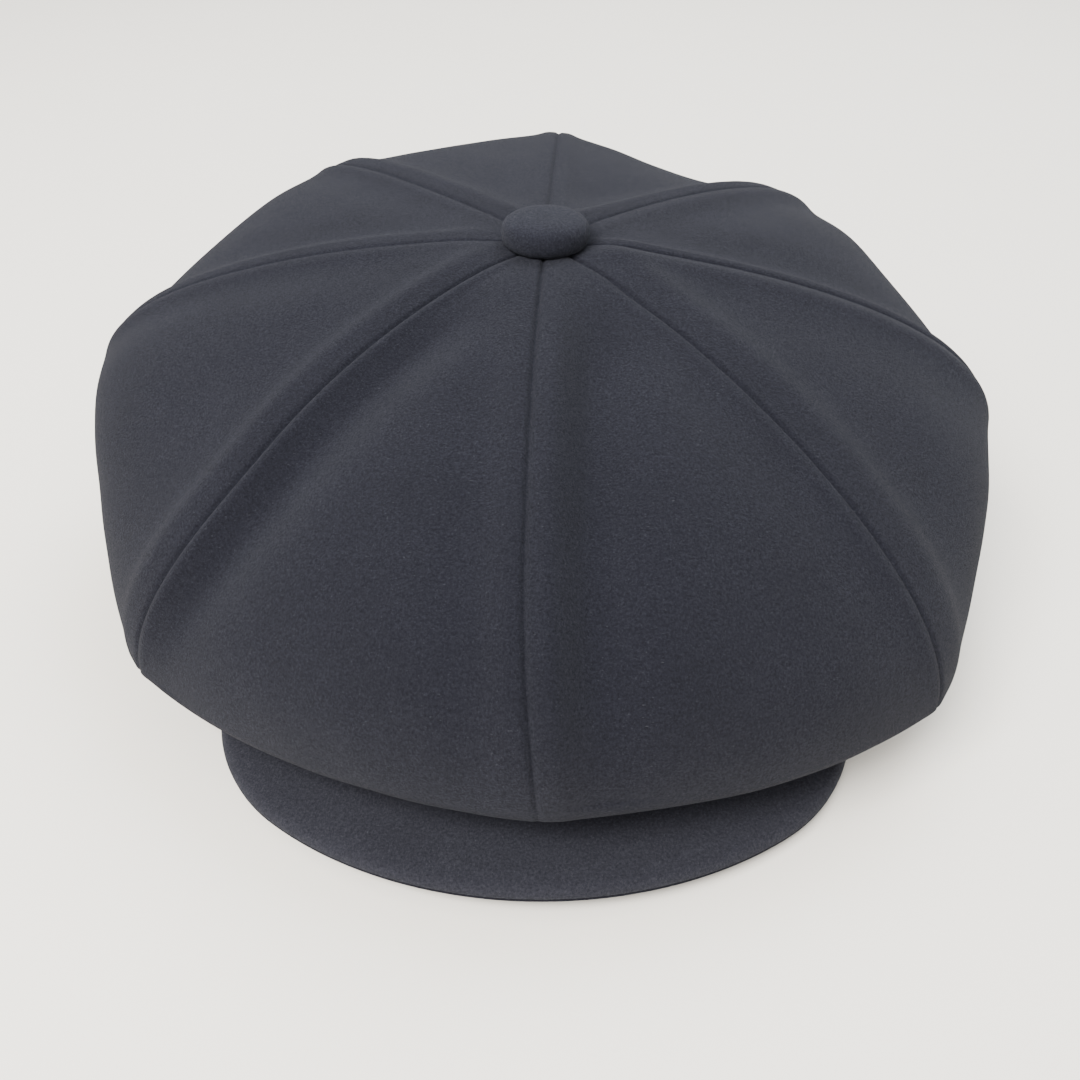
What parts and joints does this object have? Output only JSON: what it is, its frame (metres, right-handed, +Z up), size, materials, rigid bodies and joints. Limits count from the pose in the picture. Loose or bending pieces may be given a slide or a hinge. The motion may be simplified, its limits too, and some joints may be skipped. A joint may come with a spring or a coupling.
{
  "type": "newsboy cap",
  "caption": "Soft round-crowned wool cap of wedge gores meeting at a covered top button, lined, with a sweatband and a short stiff visor that flexes about its sewn seam.",
  "frame": {"origin": "centre of the head opening in the plane of the hem, which is the plane the cap rests on", "axes": "+Z up through the crown, -Y towards the visor, +X to the wearer's left"},
  "size_m": [0.301, 0.3037, 0.1217],
  "materials": {
    "wool": "dark navy-charcoal melton wool, matt, short fuzzy nap",
    "lining": "black satin lining, soft sheen",
    "sweatband": "black ribbed cotton tape",
    "tape": "stiff woven stay tape",
    "button_metal": "pressed tinned steel",
    "pin_metal": "brass split pin",
    "board": "stiff polyethylene visor board"
  },
  "bodies": {
    "crown": {"crown_gore_front_right": "wool", "crown_gore_right_front": "wool", "crown_gore_right_rear": "wool", "crown_gore_rear_right": "wool", "crown_gore_rear_left": "wool", "crown_gore_left_rear": "wool", "crown_gore_left_front": "wool", "crown_gore_front_left": "wool", "lining_gore_front_right": "lining", "lining_gore_right_front": "lining", "lining_gore_right_rear": "lining", "lining_gore_rear_right": "lining", "lining_gore_rear_left": "lining", "lining_gore_left_rear": "lining", "lining_gore_left_front": "lining", "lining_gore_front_left": "lining", "sweatband": "sweatband", "hem_tape": "tape", "button_cover": "wool", "button_shell": "button_metal", "button_back_plate": "button_metal", "crown_washer": "button_metal", "button_split_pin": "pin_metal"},
    "visor": {"visor_board": "board", "visor_top_cover": "wool", "visor_under_cover": "wool"}
  },
  "joints": [
    {"name": "visor_tilt", "type": "hinge", "parent": "crown", "child": "visor", "pos_m": [0, -0.075, 0.012], "axis": [-1, 0, 0], "range_deg": [-2, 4], "stiffness_Nm_per_rad": 1.5}
  ]
}
